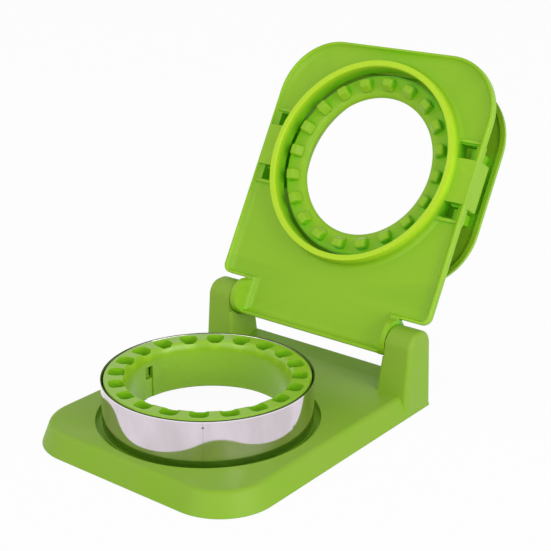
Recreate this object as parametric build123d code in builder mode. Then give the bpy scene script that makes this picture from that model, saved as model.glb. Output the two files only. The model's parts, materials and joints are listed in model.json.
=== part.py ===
from build123d import *
from math import cos, degrees, dist, pi, radians, sin, sqrt
import os

# Hinged sandwich cutter and sealer, in millimetres, +Z up and +X to the user's right.
# The user stands at -Y and the hinge is at the back. The lid is modelled open, as it rests.
# The origin is on the table, under the middle of the open product.

# Place of the ring axis, which the base, band and lower ring share
RING_Y = -45.34

# Cutting band: a thin steel strip rolled to a ring, whose radius sets the scale
BAND_RADIUS = 42.0
BAND_WALL = 0.5
BAND_TOP = 27.1
BAND_FLANGE = 2.4
BAND_EDGE = 0.25

# Base tray
BASE_WIDTH = 109.2
BASE_FRONT = 51.9
BASE_REAR = 79.6
BASE_HEIGHT = 9.5
BASE_SLOPE = 3.5
BASE_CORNER = 23.0
BASE_REAR_CORNER = 2.0
BASE_EDGE_ROUND = 2.4
BASE_WALL = 2.2
BASE_STANDOFF = 0.5
RECESS_RADIUS = 44.7
RECESS_DEPTH = 1.8
RECESS_FLOOR = 1.6
GROOVE_DEPTH = 2.6
GROOVE_WALL = 1.5
REAR_RISE = 1.2
REAR_RISE_DEPTH = 9.0

# Soft feet under the base
FOOT_RADIUS = 5.0
FOOT_HEAD = 1.5
FOOT_STEM_RADIUS = 2.0
FOOT_STEM = 3.6
FOOT_EDGE_ROUND = 0.5
FOOT_BOSS_RADIUS = 5.5
FOOT_X = 38.0
FOOT_FRONT = 37.0
FOOT_REAR = 66.0

# Lower sealing ring, a hollow shell with a thick dimpled top
RING_BORE = 32.0
RING_TOP = 27.2
RING_CROWN = 6.1
RING_WALL = 1.7
RING_FOOT_HEIGHT = 3.0
RING_LIP_WIDTH = 2.2
RING_LIP_HEIGHT = 4.7
RING_BAND_GAP = 0.6
RING_EDGE_ROUND = 0.5
RING_SLEEVE_BOTTOM = 7.2
DIMPLE_COUNT = 20
DIMPLE_RADIAL = 6.4
DIMPLE_WIDTH = 7.2
DIMPLE_DEPTH = 4.4
DIMPLE_CORNER = 2.3
DIMPLE_CIRCLE = 36.1
WINDOW_WIDTH = 4.1
WINDOW_HEIGHT = 5.5
WINDOW_GROOVE = 0.5
HOOK_THICKNESS = 2.0
HOOK_BARB_HEIGHT = 0.8
HOOK_BARB_REACH = 0.5

# Hinge
HINGE_REACH = 70.3
HINGE_HEIGHT = 29.55
OPEN_ANGLE = 119.4
PIN_RADIUS = 2.2
PIN_LENGTH = 5.0
PIN_END_GAP = 0.3
EAR_RADIUS = 7.9
EAR_WALL = 2.2
EAR_FOOT = 5.2
EAR_FOOT_ROUND = 3.4
EAR_OUTSIDE = 41.3
STOP_CIRCLE = 4.3
STOP_PEG_RADIUS = 0.9
STOP_PEG_LENGTH = 1.6

# Hinge posts on the base
POST_OUTSIDE = 54.2
POST_FRONT = 60.0
POST_FRONT_LEAN = 2.8
POST_REAR_LEAN = 2.3
POST_CREST = 35.6
POST_CREST_ROUND = 6.7
POST_ROUND = 2.0
POST_CORE_WALL = 2.3
POST_CORE_TOP = 21.0
POST_SEAT_WIDTH = 2.1
POST_SEAT_LEAN = 0.8
POST_SEAT_TOP = 24.0
POST_SEAT_ROUND = 1.4

# Lid, whose levels are measured from the hinge axis towards its underside
LID_WIDTH = 109.6
LID_FRONT = 52.6
LID_CORNER = 26.5
LID_PANEL = 2.0
LID_UNDERSIDE = -0.7
LID_RIM = 1.7
LID_RIM_WIDTH = 1.1
LID_RIM_ROUND = 0.5
LID_COVE_WIDTH = 4.6
LID_COVE_STEPS = 4
LID_COVE_CORNER = 1.0
LID_EDGE_ROUND = 1.6
NOTCH_EDGE = 8.4
NOTCH_CORNER = 4.0
NOTCH_RIM = 1.0
TONGUE_END = 7.7
TONGUE_RIM = 1.2
COLLAR_BORE = 42.7
COLLAR_OUTSIDE = 45.3
COLLAR_RIM = 5.4
COLLAR_FLARE = 0.7
COLLAR_FOOT_ROUND = 2.0
COLLAR_CHAMFER = 0.4

# Spring housings, bars, ribs and slots on each side of the lid
BAR_HALF = 9.5
HOUSING_OUTSIDE = 54.0
HOUSING_INSIDE = 46.2
HOUSING_TOP = 10.4
HOUSING_HALF = 10.5
HOUSING_CORNER = 0.8
CATCH_BOX_WALL = 1.2
CATCH_BOX_DEPTH = 4.0
SLOT_LENGTH = 6.5
SLOT_INSIDE = 43.4
SLOT_OUTSIDE = 51.2
SLOT_LEDGE = 1.0
SLOT_LEDGE_WIDTH = 1.1
RIB_WIDTH = 1.2
RIB_HEIGHT = 1.4
WELL_RADIUS = 2.2
WELL_FLOOR = 1.5
WELL_X = 49.3
WELL_SPACING = 9.6

# Press plate, tube and hook legs
PRESS_TRAVEL = 4.0
PRESS_WIDTH = 111.2
PRESS_LENGTH = 94.0
PRESS_CORNER = 29.0
PRESS_PANEL = 2.2
PRESS_LIP = 1.0
PRESS_LIP_WIDTH = 2.2
PRESS_EDGE_ROUND = 2.0
TUBE_BORE = 38.0
TUBE_OUTSIDE = 39.8
TUBE_FLARE = 4.3
LEG_THICKNESS = 2.0
LEG_WIDTH = 4.6
LEG_X = 47.7
BARB_REACH = 1.1
BARB_HEIGHT = 1.25
GUIDE_RADIUS = 0.9
GUIDE_LENGTH = 4.0

# Upper sealing ring
TOOTH_FACE = -2.0
TOOTHED_BORE = 31.4
TOOTHED_OUTSIDE = 41.1
TOOTHED_PLATE = 2.5
TOOTHED_LIP_WIDTH = 3.5
TOOTHED_LIP_HEIGHT = 2.2
TOOTH_COUNT = 20
TOOTH_INNER = 33.6
TOOTH_OUTER = 39.0
TOOTH_TIP_INNER = 35.4
TOOTH_WIDTH = 5.2
TOOTH_HEIGHT = 4.0
TOOTH_TOE = 1.0
TOOTH_ROOT = 0.5
TOOTH_ROUND = 1.2
TOOTHED_EDGE_ROUND = 1.0
SPIGOT_LENGTH = 5.0
SPIGOT_WALL = 1.6
SNAP_COUNT = 4
SNAP_WIDTH = 5.0
SNAP_HEIGHT = 1.6
SNAP_REACH = 0.9
SNAP_START = 45

# Return springs
SPRING_WIRE = 0.6
SPRING_RADIUS = 1.45
SPRING_TURNS = 8

# Clearances
PIN_CLEARANCE = 0.06
EAR_CLEARANCE = 0.4
SEAT_CLEARANCE = 0.6
SNAP_CLEARANCE = 0.3
FIT_CLEARANCE = 0.05
REST_GAP = 0.1

# Planes: the ring's section, and the lid's own plane with its origin on the hinge axis
open_turn = radians(OPEN_ANGLE)
toward_underside = (0, -sin(open_turn), -cos(open_turn))
toward_free_end = (0, -cos(open_turn), sin(open_turn))
toward_hinge = (0, cos(open_turn), -sin(open_turn))
hinge_y = RING_Y + HINGE_REACH
ring_plane = Plane(origin=(0, RING_Y, 0))
ring_section = Plane(origin=(0, RING_Y, 0), x_dir=(1, 0, 0), z_dir=(0, -1, 0))
ring_axis = Axis((0, RING_Y, 0), (0, 0, 1))
os.makedirs("parts", exist_ok=True)
lid_plane = Plane(origin=(0, hinge_y, HINGE_HEIGHT), x_dir=(1, 0, 0), z_dir=toward_underside)
seal_centre = lid_plane.from_local_coords((0, HINGE_REACH, 0))
seal_plane = Plane(origin=seal_centre, x_dir=(1, 0, 0), z_dir=toward_underside)
seal_section = Plane(origin=seal_centre, x_dir=(1, 0, 0), z_dir=toward_hinge)
seal_axis = Axis(seal_centre, toward_underside)
lid_axis = Axis((0, 0, 0), toward_underside)

# Levels and radii that several pieces share
front_y = RING_Y - BASE_FRONT
rear_y = RING_Y + BASE_REAR
recess_level = BASE_HEIGHT - RECESS_DEPTH
groove_level = BASE_HEIGHT - GROOVE_DEPTH
groove_inside = BAND_RADIUS + SNAP_CLEARANCE
base_hole = RING_BORE + RING_WALL + SNAP_CLEARANCE
band_bore = BAND_RADIUS - BAND_WALL
ring_outside = band_bore - RING_BAND_GAP
crown_underside = RING_TOP - RING_CROWN
channel_inside = RING_BORE + RING_WALL
window_top = crown_underside - FIT_CLEARANCE
window_bottom = window_top - WINDOW_HEIGHT
post_inside = EAR_OUTSIDE + EAR_CLEARANCE
lid_outer = LID_UNDERSIDE - LID_PANEL
lid_free_end = HINGE_REACH + LID_FRONT
slot_inner_u = BAR_HALF
slot_outer_u = BAR_HALF + SLOT_LENGTH
well_bottom = LID_RIM - WELL_FLOOR
press_lip_level = -HOUSING_TOP - PRESS_TRAVEL - REST_GAP
press_underside = press_lip_level - PRESS_LIP
press_outer = press_underside - PRESS_PANEL
leg_u = (HOUSING_HALF + slot_outer_u) / 2
catch_box_end = lid_outer - CATCH_BOX_DEPTH
ledge_level = catch_box_end + SLOT_LEDGE
toothed_back = TOOTH_FACE - TOOTHED_PLATE
snap_bottom = toothed_back - SPIGOT_LENGTH + SNAP_CLEARANCE


def tray_outline(inset, level, rear):
    """Tray outline drawn in by inset on the front and sides, with its straight rear at rear."""
    front = front_y + inset
    width = BASE_WIDTH - 2 * inset
    with BuildSketch(Plane.XY.offset(level)) as outline:
        with Locations((0, (front + rear) / 2)):
            Rectangle(width, rear - front)
        fillet(outline.vertices().group_by(Axis.Y)[0], radius=BASE_CORNER - inset)
    return outline.sketch


def panel_outline(inset, near_inset):
    """Lid panel outline drawn in by inset, and by near_inset beside the tongue, without it."""
    near = NOTCH_EDGE + near_inset
    far = lid_free_end - inset
    with BuildSketch() as outline:
        with Locations((0, (near + far) / 2)):
            Rectangle(LID_WIDTH - 2 * inset, far - near)
        near_corners = outline.vertices().group_by(Axis.Y)[0]
        fillet(near_corners, radius=max(NOTCH_CORNER - inset, LID_COVE_CORNER))
        fillet(outline.vertices().group_by(Axis.Y)[-1], radius=LID_CORNER - inset)
    return outline.sketch


def post_profile():
    """Side profile of a hinge post with Y across and Z up, leaning in towards its round top."""
    post_front = RING_Y + POST_FRONT
    with BuildSketch() as profile:
        with BuildLine():
            Polyline(
                (post_front, BASE_STANDOFF),
                (post_front + POST_FRONT_LEAN, POST_CREST),
                (rear_y - POST_REAR_LEAN, POST_CREST),
                (rear_y, BASE_STANDOFF),
                close=True,
            )
        make_face()
        fillet(profile.vertices().group_by(Axis.Y)[-1], radius=POST_CREST_ROUND)
    return profile.sketch


# Right hinge post, rounded outside, and the low ledge on its inner side below the lid's ear
post_plane = Plane(origin=(post_inside, 0, 0), x_dir=(0, 1, 0), z_dir=(1, 0, 0))
with BuildPart() as post:
    with BuildSketch(post_plane):
        add(post_profile())
    extrude(amount=POST_OUTSIDE - post_inside)
    outside_edges = post.faces().sort_by(Axis.X)[-1].edges()
    fillet(outside_edges.filter_by(lambda e: e.center().Z > BASE_HEIGHT / 2), radius=POST_ROUND)
with BuildPart() as post_ledge:
    with BuildSketch(post_plane):
        add(post_profile())
    extrude(amount=-POST_SEAT_WIDTH - POST_SEAT_LEAN)
    with BuildSketch(Plane(origin=(0, rear_y, 0), x_dir=(1, 0, 0), z_dir=(0, -1, 0))):
        with BuildLine():
            Polyline(
                (post_inside, BASE_HEIGHT - BASE_WALL),
                (post_inside, POST_SEAT_TOP),
                (post_inside - POST_SEAT_WIDTH + POST_SEAT_LEAN, POST_SEAT_TOP),
                (post_inside - POST_SEAT_WIDTH - POST_SEAT_LEAN, BASE_HEIGHT - BASE_WALL),
                close=True,
            )
        make_face()
    extrude(amount=BASE_REAR - POST_FRONT, mode=Mode.INTERSECT)
    inner_face_edges = post_ledge.faces().sort_by(Axis.X)[0].edges()
    fillet(inner_face_edges.sort_by(Axis.Y)[0], radius=POST_SEAT_ROUND)

# Base tray with its posts, recess, foot bosses and the two hooks that hold the lower ring
with BuildPart() as base_plate:
    overrun = rear_y + BASE_CORNER
    add(tray_outline(0, BASE_STANDOFF, overrun))
    add(tray_outline(BASE_SLOPE, BASE_HEIGHT, overrun))
    loft()
    top_edges = base_plate.faces().sort_by(Axis.Z)[-1].edges()
    fillet(top_edges.filter_by(lambda e: e.center().Y < rear_y), radius=BASE_EDGE_ROUND)
    split(bisect_by=Plane(origin=(0, rear_y, 0), z_dir=(0, 1, 0)), keep=Keep.BOTTOM)
    rear_edges = base_plate.faces().sort_by(Axis.Y)[-1].edges()
    corner_edges = rear_edges.sort_by(Axis.X)
    fillet([corner_edges[0], corner_edges[-1]], radius=BASE_REAR_CORNER)

    # Gentle rise along the rear edge
    with BuildSketch(Plane(origin=(-post_inside, 0, 0), x_dir=(0, 1, 0), z_dir=(1, 0, 0))):
        with BuildLine():
            Polyline(
                (rear_y - REAR_RISE_DEPTH, BASE_HEIGHT),
                (rear_y, BASE_HEIGHT + REAR_RISE),
                (rear_y, BASE_HEIGHT - BASE_WALL),
                (rear_y - REAR_RISE_DEPTH, BASE_HEIGHT - BASE_WALL),
                close=True,
            )
        make_face()
    extrude(amount=2 * post_inside)

    # Posts and their ledges, with round seats below the lid's ears
    add(post.part)
    add(post_ledge.part)
    mirror(post.part, about=Plane.YZ)
    mirror(post_ledge.part, about=Plane.YZ)
    ear_seat_plane = Plane(origin=(-post_inside, 0, 0), x_dir=(0, 1, 0), z_dir=(1, 0, 0))
    with BuildSketch(ear_seat_plane):
        with Locations((hinge_y, HINGE_HEIGHT)):
            Circle(EAR_RADIUS + SEAT_CLEARANCE)
    extrude(amount=2 * post_inside, mode=Mode.SUBTRACT)

    # Hollow underside of the tray, and the cores of the posts
    inner_rear = rear_y - BASE_WALL
    inner_top = BASE_HEIGHT - BASE_WALL
    inner_shift = BASE_WALL + BASE_SLOPE * inner_top / BASE_HEIGHT
    add(tray_outline(BASE_WALL, BASE_STANDOFF, inner_rear))
    add(tray_outline(inner_shift, inner_top, inner_rear))
    loft(mode=Mode.SUBTRACT)
    core_x = (post_inside + POST_OUTSIDE) / 2
    core_width = POST_OUTSIDE - post_inside - 2 * POST_CORE_WALL
    core_front = RING_Y + POST_FRONT + POST_CORE_WALL
    with BuildSketch(Plane.XY.offset(BASE_STANDOFF)):
        with Locations((core_x, (core_front + inner_rear) / 2), (-core_x, (core_front + inner_rear) / 2)):
            Rectangle(core_width, inner_rear - core_front)
    extrude(amount=POST_CORE_TOP - BASE_STANDOFF, mode=Mode.SUBTRACT)

    # Sunk floor round the lower ring, with its hole
    with BuildSketch(ring_plane.offset(recess_level - RECESS_FLOOR)):
        Circle(RECESS_RADIUS + BASE_WALL)
    extrude(amount=inner_top - recess_level + RECESS_FLOOR + FIT_CLEARANCE)
    with BuildSketch(ring_plane.offset(groove_level - GROOVE_WALL)):
        Circle(RECESS_RADIUS + BASE_WALL)
        Circle(groove_inside - GROOVE_WALL, mode=Mode.SUBTRACT)
    extrude(amount=recess_level - groove_level)
    with BuildSketch(ring_plane.offset(recess_level)):
        Circle(RECESS_RADIUS)
    extrude(amount=RECESS_DEPTH, mode=Mode.SUBTRACT)
    with BuildSketch(ring_plane.offset(groove_level)):
        Circle(RECESS_RADIUS)
        Circle(groove_inside, mode=Mode.SUBTRACT)
    extrude(amount=GROOVE_DEPTH, mode=Mode.SUBTRACT)
    with BuildSketch(ring_plane):
        Circle(base_hole)
    extrude(amount=BASE_HEIGHT, mode=Mode.SUBTRACT)

    # Hooks that stand in the lower ring's channel and snap into its two windows
    hook_inner = channel_inside + SNAP_CLEARANCE
    barb_tip = channel_inside - HOOK_BARB_REACH
    barb_bottom = window_bottom + SNAP_CLEARANCE
    with BuildSketch(ring_section):
        with BuildLine():
            Polyline(
                (hook_inner, recess_level - RECESS_FLOOR),
                (hook_inner, barb_bottom),
                (barb_tip, barb_bottom),
                (hook_inner, barb_bottom + HOOK_BARB_HEIGHT),
                (hook_inner, window_top - SNAP_CLEARANCE),
                (hook_inner + HOOK_THICKNESS, window_top - SNAP_CLEARANCE),
                (hook_inner + HOOK_THICKNESS, recess_level - RECESS_FLOOR),
                close=True,
            )
        make_face()
        mirror(about=Plane.YZ)
    extrude(amount=WINDOW_WIDTH / 2 - SNAP_CLEARANCE, both=True)

    # Bosses that hold the soft feet
    foot_spots = [
        (side * FOOT_X, y) for side in (-1, 1) for y in (RING_Y - FOOT_FRONT, RING_Y + FOOT_REAR)
    ]
    with BuildSketch(Plane.XY.offset(FOOT_HEAD)):
        with Locations(*foot_spots):
            Circle(FOOT_BOSS_RADIUS)
            Circle(FOOT_STEM_RADIUS + FIT_CLEARANCE, mode=Mode.SUBTRACT)
    extrude(amount=inner_top - FOOT_HEAD)

    # Blind hinge bores, each with the arc pocket that stops the lid closed and open
    end_play = degrees((SNAP_CLEARANCE - REST_GAP) / STOP_CIRCLE)
    for side in (-1, 1):
        bore_plane = Plane(
            origin=(side * post_inside, hinge_y, HINGE_HEIGHT), x_dir=(0, 1, 0), z_dir=(1, 0, 0)
        )
        with BuildSketch(bore_plane):
            Circle(PIN_RADIUS + PIN_CLEARANCE)
        extrude(amount=side * PIN_LENGTH, mode=Mode.SUBTRACT)
        with BuildSketch(bore_plane):
            with BuildLine():
                stop_arc = CenterArc(
                    (0, 0),
                    STOP_CIRCLE,
                    180 - OPEN_ANGLE + end_play,
                    OPEN_ANGLE - 2 * end_play,
                )
            SlotArc(stop_arc, height=2 * (STOP_PEG_RADIUS + SNAP_CLEARANCE))
        extrude(amount=side * STOP_PEG_LENGTH, mode=Mode.SUBTRACT)
base_plate.part.label = "base_plate"
export_step(base_plate.part, "parts/base_plate.step")

# Cutting band, whose thin turned-in flange is trapped under the lower ring
flange_top = recess_level + BAND_WALL
with BuildPart() as cutting_band:
    with BuildSketch(ring_section):
        with BuildLine():
            Polyline(
                (BAND_RADIUS, recess_level),
                (BAND_RADIUS, BAND_TOP),
                (BAND_RADIUS - BAND_EDGE, BAND_TOP),
                (band_bore, BAND_TOP - 2 * BAND_EDGE),
                (band_bore, flange_top),
                (band_bore - BAND_FLANGE, flange_top),
                (band_bore - BAND_FLANGE, recess_level),
                close=True,
            )
        make_face()
    revolve(axis=ring_axis)
cutting_band.part.label = "cutting_band"
export_step(cutting_band.part, "parts/cutting_band.step")

# Lower sealing ring: a hollow shell with dimples in its thick top and two windows in its bore
with BuildPart() as dimple_ring:
    foot_top = flange_top + RING_FOOT_HEIGHT
    foot_radius = band_bore - FIT_CLEARANCE
    with BuildSketch(ring_section):
        with BuildLine():
            lip_centre = (RING_BORE + RING_LIP_WIDTH, RING_TOP - RING_LIP_HEIGHT)
            EllipticalCenterArc(
                lip_centre, RING_LIP_WIDTH, RING_LIP_HEIGHT, start_angle=90, arc_size=90
            )
            Polyline(
                (RING_BORE + RING_LIP_WIDTH, RING_TOP),
                (ring_outside, RING_TOP),
                (ring_outside, foot_top),
                (foot_radius, foot_top - FIT_CLEARANCE),
                (foot_radius, flange_top),
                (ring_outside - RING_WALL, flange_top),
                (ring_outside - RING_WALL, crown_underside),
                (channel_inside, crown_underside),
                (channel_inside, RING_SLEEVE_BOTTOM),
                (RING_BORE, RING_SLEEVE_BOTTOM),
                (RING_BORE, RING_TOP - RING_LIP_HEIGHT),
            )
        top_points = make_face().vertices().group_by(Axis.Y)[-1].sort_by(Axis.X)
        fillet(top_points[-1], radius=RING_EDGE_ROUND)
    revolve(axis=ring_axis)
    with BuildSketch(ring_plane.offset(RING_TOP)):
        with PolarLocations(DIMPLE_CIRCLE, DIMPLE_COUNT):
            RectangleRounded(DIMPLE_RADIAL, DIMPLE_WIDTH, DIMPLE_CORNER)
    extrude(amount=-DIMPLE_DEPTH, mode=Mode.SUBTRACT)
    with BuildSketch(ring_section):
        with Locations((0, (window_top + window_bottom) / 2)):
            Rectangle(2 * channel_inside, WINDOW_HEIGHT)
        with Locations((0, (window_bottom + RING_SLEEVE_BOTTOM) / 2)):
            Rectangle(2 * (RING_BORE + WINDOW_GROOVE), window_bottom - RING_SLEEVE_BOTTOM)
    extrude(amount=WINDOW_WIDTH / 2, both=True, mode=Mode.SUBTRACT)
dimple_ring.part.label = "dimple_ring"
export_step(dimple_ring.part, "parts/dimple_ring.step")

# Soft feet, each with a stem pressed up into its boss
foot_names = ["foot_front_left", "foot_rear_left", "foot_front_right", "foot_rear_right"]
for foot_name, foot_spot in zip(foot_names, foot_spots):
    with BuildPart() as soft_foot:
        with BuildSketch(Plane(origin=(*foot_spot, 0))):
            Circle(FOOT_RADIUS)
        extrude(amount=FOOT_HEAD)
        fillet(soft_foot.edges().group_by(Axis.Z)[0], radius=FOOT_EDGE_ROUND)
        with BuildSketch(Plane(origin=(*foot_spot, FOOT_HEAD))):
            Circle(FOOT_STEM_RADIUS)
        extrude(amount=FOOT_STEM)
    soft_foot.part.label = foot_name
    export_step(soft_foot.part, f"parts/{foot_name}.step")

# Hollows of the lid: the shallow tray inside its rim, and the tray's run between the ears
ear_plane = Plane(origin=lid_plane.origin, x_dir=toward_free_end, z_dir=(1, 0, 0))
with BuildPart() as panel_hollow:
    for step in range(LID_COVE_STEPS + 1):
        cove_angle = radians(90 * step / LID_COVE_STEPS)
        cove_inset = LID_COVE_WIDTH * (1 - cos(cove_angle))
        cove_level = LID_RIM - (LID_RIM - LID_UNDERSIDE) * sin(cove_angle)
        with BuildSketch(lid_plane.offset(cove_level)):
            add(panel_outline(LID_RIM_WIDTH + cove_inset, NOTCH_RIM * (1 + cove_inset / LID_COVE_WIDTH)))
    loft()
with BuildPart() as tongue_hollow:
    tongue_edge = lid_plane.from_local_coords((0, TONGUE_RIM - TONGUE_END, 0))
    with BuildSketch(Plane(origin=tongue_edge, x_dir=(1, 0, 0), z_dir=toward_hinge)):
        with BuildLine():
            ear_inside = EAR_OUTSIDE - EAR_WALL
            ear_foot_inside = EAR_OUTSIDE - EAR_FOOT
            Polyline(
                (-ear_foot_inside, LID_UNDERSIDE),
                (ear_foot_inside, LID_UNDERSIDE),
                (ear_inside, EAR_RADIUS),
                (-ear_inside, EAR_RADIUS),
                close=True,
            )
        make_face()
    extrude(amount=TONGUE_RIM - TONGUE_END - NOTCH_EDGE - NOTCH_CORNER)
    hollow_floor = tongue_hollow.faces().sort_by(lid_axis)[0]
    free_end_axis = Axis(lid_plane.origin, toward_free_end)
    fillet(hollow_floor.edges().sort_by(free_end_axis)[:-1], radius=EAR_FOOT_ROUND)

# Lid: panel, hinge tongue and ears, collar, bars, ribs, slots and spring housings
with BuildPart() as lid:
    with BuildSketch(lid_plane.offset(lid_outer)):
        add(panel_outline(0, 0))
        with Locations((0, (NOTCH_EDGE + NOTCH_CORNER - TONGUE_END) / 2)):
            Rectangle(2 * EAR_OUTSIDE, NOTCH_EDGE + NOTCH_CORNER + TONGUE_END)
    extrude(amount=LID_RIM - lid_outer)
    back_edges = lid.faces().sort_by(lid_axis)[0].edges()
    fillet(back_edges, radius=LID_EDGE_ROUND)
    rim_edges = lid.faces().sort_by(lid_axis)[-1].edges()
    fillet(rim_edges, radius=LID_RIM_ROUND)

    # Round ears, thick at the foot of their inner sides
    for side in (-1, 1):
        with BuildSketch(ear_plane.offset(side * (EAR_OUTSIDE - EAR_FOOT))):
            Circle(EAR_RADIUS)
        extrude(amount=side * EAR_FOOT)

    # Shallow tray inside the rim, and its run between the ears
    add(panel_hollow.part, mode=Mode.SUBTRACT)
    add(tongue_hollow.part, mode=Mode.SUBTRACT)
    with BuildSketch(ear_plane):
        with Locations((0, lid_outer - EAR_RADIUS / 2)):
            Rectangle(2 * EAR_RADIUS + FIT_CLEARANCE, EAR_RADIUS)
    extrude(amount=EAR_OUTSIDE - EAR_WALL, both=True, mode=Mode.SUBTRACT)

    # Collar round the cutting band, and the hole that the seal tube slides through
    with BuildSketch(seal_section):
        with BuildLine():
            foot_x = COLLAR_OUTSIDE + COLLAR_FLARE
            Line((COLLAR_BORE, lid_outer), (COLLAR_BORE, COLLAR_RIM - COLLAR_CHAMFER))
            Line((COLLAR_BORE, COLLAR_RIM - COLLAR_CHAMFER), (COLLAR_BORE + COLLAR_CHAMFER, COLLAR_RIM))
            Line((COLLAR_BORE + COLLAR_CHAMFER, COLLAR_RIM), (COLLAR_OUTSIDE, COLLAR_RIM))
            Line((COLLAR_OUTSIDE, COLLAR_RIM), (foot_x, LID_UNDERSIDE + COLLAR_FOOT_ROUND))
            RadiusArc(
                (foot_x, LID_UNDERSIDE + COLLAR_FOOT_ROUND),
                (foot_x + COLLAR_FOOT_ROUND, LID_UNDERSIDE),
                -COLLAR_FOOT_ROUND,
            )
            Line((foot_x + COLLAR_FOOT_ROUND, LID_UNDERSIDE), (foot_x, lid_outer))
            Line((foot_x, lid_outer), (COLLAR_BORE, lid_outer))
        make_face()
    revolve(axis=seal_axis)
    with BuildSketch(seal_plane.offset(lid_outer)):
        Circle(COLLAR_BORE)
    extrude(amount=COLLAR_RIM, mode=Mode.SUBTRACT)

    # Bars from the collar to the rim, and thin ribs beyond the slots
    bar_inside = (COLLAR_BORE + COLLAR_OUTSIDE) / 2
    bar_outside = LID_WIDTH / 2 - LID_RIM_WIDTH / 2
    bar_middle = (bar_inside + bar_outside) / 2
    with BuildSketch(seal_plane.offset(LID_UNDERSIDE)):
        with Locations((-bar_middle, 0), (bar_middle, 0)):
            Rectangle(bar_outside - bar_inside, 2 * BAR_HALF)
        Circle(COLLAR_BORE + FIT_CLEARANCE, mode=Mode.SUBTRACT)
    extrude(amount=LID_RIM - LID_UNDERSIDE)
    rib_u = slot_outer_u + RIB_WIDTH
    rib_inside = sqrt(COLLAR_OUTSIDE**2 - rib_u**2) - RIB_WIDTH
    rib_middle = (rib_inside + bar_outside) / 2
    with BuildSketch(seal_plane.offset(LID_UNDERSIDE)):
        for side in (-1, 1):
            with Locations((side * rib_middle, -rib_u), (side * rib_middle, rib_u)):
                Rectangle(bar_outside - rib_inside, RIB_WIDTH)
        Circle(COLLAR_BORE + FIT_CLEARANCE, mode=Mode.SUBTRACT)
    extrude(amount=RIB_HEIGHT)

    # Boxes on the back that the hook legs catch in, open to the underside as slots
    slot_u = (slot_inner_u + slot_outer_u) / 2
    slot_x = (SLOT_INSIDE + SLOT_OUTSIDE) / 2
    slot_width = SLOT_OUTSIDE - SLOT_INSIDE
    ledge_x = slot_x - SLOT_LEDGE_WIDTH / 2
    slot_spots = [(side * slot_x, way * slot_u) for side in (-1, 1) for way in (-1, 1)]
    mouth_spots = [(side * ledge_x, way * slot_u) for side in (-1, 1) for way in (-1, 1)]
    with BuildSketch(seal_plane.offset(catch_box_end)):
        with Locations(*slot_spots):
            Rectangle(slot_width + 2 * CATCH_BOX_WALL, SLOT_LENGTH + 2 * CATCH_BOX_WALL)
    extrude(amount=CATCH_BOX_DEPTH + FIT_CLEARANCE)
    with BuildSketch(seal_plane.offset(catch_box_end)):
        with Locations(*mouth_spots):
            Rectangle(slot_width - SLOT_LEDGE_WIDTH, SLOT_LENGTH)
    extrude(amount=SLOT_LEDGE, mode=Mode.SUBTRACT)
    with BuildSketch(seal_plane.offset(ledge_level)):
        with Locations(*slot_spots):
            Rectangle(slot_width, SLOT_LENGTH)
        Circle(foot_x, mode=Mode.SUBTRACT)
    extrude(amount=COLLAR_RIM - ledge_level, mode=Mode.SUBTRACT)

    # Spring housings on the back, each with two wells
    housing_middle = (HOUSING_INSIDE + HOUSING_OUTSIDE) / 2
    with BuildSketch(seal_plane.offset(-HOUSING_TOP)):
        with Locations((-housing_middle, 0), (housing_middle, 0)):
            RectangleRounded(HOUSING_OUTSIDE - HOUSING_INSIDE, 2 * HOUSING_HALF, HOUSING_CORNER)
    extrude(amount=HOUSING_TOP + lid_outer + FIT_CLEARANCE)
    with BuildSketch(seal_plane.offset(-HOUSING_TOP)):
        with GridLocations(2 * WELL_X, WELL_SPACING, 2, 2):
            Circle(WELL_RADIUS)
    extrude(amount=HOUSING_TOP + well_bottom, mode=Mode.SUBTRACT)

    # Hinge pins and stop pegs on the ears' outer sides
    for side in (-1, 1):
        with BuildSketch(ear_plane.offset(side * EAR_OUTSIDE)):
            Circle(PIN_RADIUS)
        extrude(amount=side * (PIN_LENGTH - PIN_END_GAP))
        with BuildSketch(ear_plane.offset(side * EAR_OUTSIDE)):
            with Locations((STOP_CIRCLE, 0)):
                Circle(STOP_PEG_RADIUS)
        extrude(amount=side * STOP_PEG_LENGTH)
lid.part.label = "lid"
export_step(lid.part, "parts/lid.step")

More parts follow.
